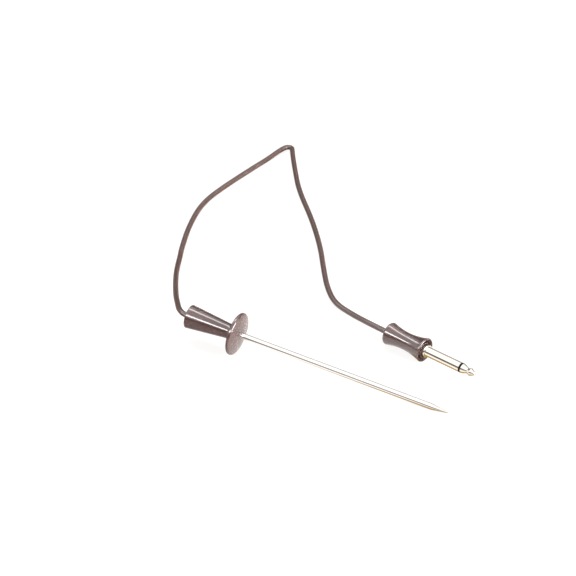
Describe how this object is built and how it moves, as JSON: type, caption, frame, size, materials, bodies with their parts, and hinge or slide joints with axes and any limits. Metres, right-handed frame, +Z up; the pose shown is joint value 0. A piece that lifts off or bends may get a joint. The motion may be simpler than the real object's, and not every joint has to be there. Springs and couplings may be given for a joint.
{
  "type": "oven meat probe",
  "caption": "Oven meat probe: pointed stainless rod in a push-pin shaped handle, thin cable and a 6.35 mm mono jack plug in an hourglass grip.",
  "frame": {"origin": "on the surface that the probe lies on, under the middle of the box round its handle and rod", "axes": "+X along the probe towards the rod's tip, +Z up from the surface"},
  "size_m": [0.2541, 0.2618, 0.0279],
  "materials": {
    "handle_plastic": "glossy moulded plastic, brown-grey",
    "stainless": "polished stainless steel",
    "bead_glass": "glass bead",
    "paste": "heat-conducting filling",
    "ceramic_white": "twin-bore insulating rod",
    "copper": "bare metal wire",
    "sleeve_black": "shrink sleeve",
    "core_red": "wire insulation",
    "core_white": "wire insulation",
    "brass": "crimped ferrule",
    "cable_jacket": "smooth flexible jacket, brown-grey",
    "potting": "inner moulding",
    "nickel": "bright nickel plating",
    "ring_black": "black insulating plastic",
    "tinned": "tinned tag"
  },
  "bodies": {
    "root": {"cable_crimp": "brass", "cable_tail_handle": "cable_jacket", "cable_tail_plug": "cable_jacket", "cord": "cable_jacket", "handle": "handle_plastic", "handle_core_a": "core_red", "handle_core_b": "core_white", "heat_paste": "paste", "jack_insulator": "ring_black", "jack_sleeve": "nickel", "jack_tip": "nickel", "lead_insulator": "ceramic_white", "plug_core_a": "core_red", "plug_core_b": "core_white", "plug_grip": "handle_plastic", "probe_point": "stainless", "probe_tube": "stainless", "rear_bush": "ring_black", "rod_insulator": "ring_black", "sensor_lead_a": "copper", "sensor_lead_b": "copper", "sleeve_lug": "tinned", "splice_a": "copper", "splice_b": "copper", "splice_potting": "potting", "splice_sleeve_a": "sleeve_black", "splice_sleeve_b": "sleeve_black", "thermistor_bead": "bead_glass", "tip_lug": "tinned", "tube_anchor": "stainless"}
  },
  "joints": []
}
